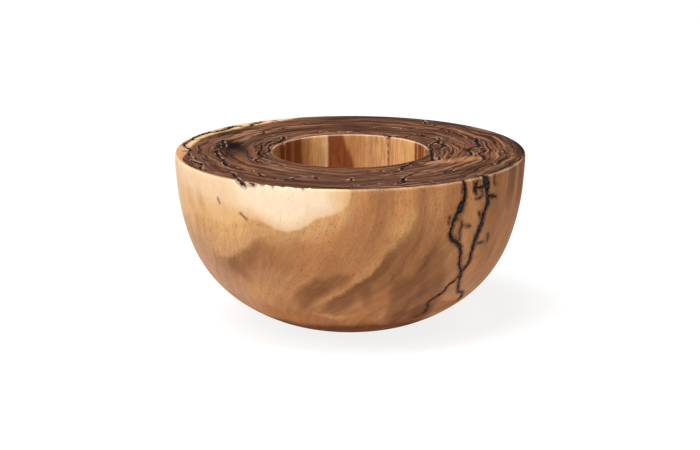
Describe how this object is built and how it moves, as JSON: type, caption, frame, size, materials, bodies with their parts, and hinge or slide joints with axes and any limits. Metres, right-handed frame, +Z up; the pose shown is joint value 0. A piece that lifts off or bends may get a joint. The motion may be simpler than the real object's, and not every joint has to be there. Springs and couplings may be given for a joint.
{
  "type": "chip and dip server",
  "caption": "Turned log server with a flat chip ring, a round dip well in the middle, and black-filled burnt channels.",
  "frame": {"origin": "centre of the base, on the surface that the pads stand on", "axes": "+Z up along the turning axis, -Y towards the front, +X to the right as seen from the front"},
  "size_m": [0.305, 0.305, 0.153],
  "materials": {
    "log": "satin lacquer",
    "char_resin": "glossy, over black char",
    "pad": "matte"
  },
  "bodies": {
    "root": {"wood_body": "log", "vein_fill_side_fork": "char_resin", "vein_fill_around_well": "char_resin", "vein_fill_inner_left": "char_resin", "vein_fill_mid_left": "char_resin", "vein_fill_front_left": "char_resin", "vein_fill_sapwood": "char_resin", "vein_fill_rim_left": "char_resin", "vein_fill_front_right": "char_resin", "vein_fill_mid_right": "char_resin", "vein_fill_far_right": "char_resin", "vein_fill_back_left": "char_resin", "vein_fill_back": "char_resin", "vein_fill_specks": "char_resin", "foot_pads": "pad"}
  },
  "joints": []
}
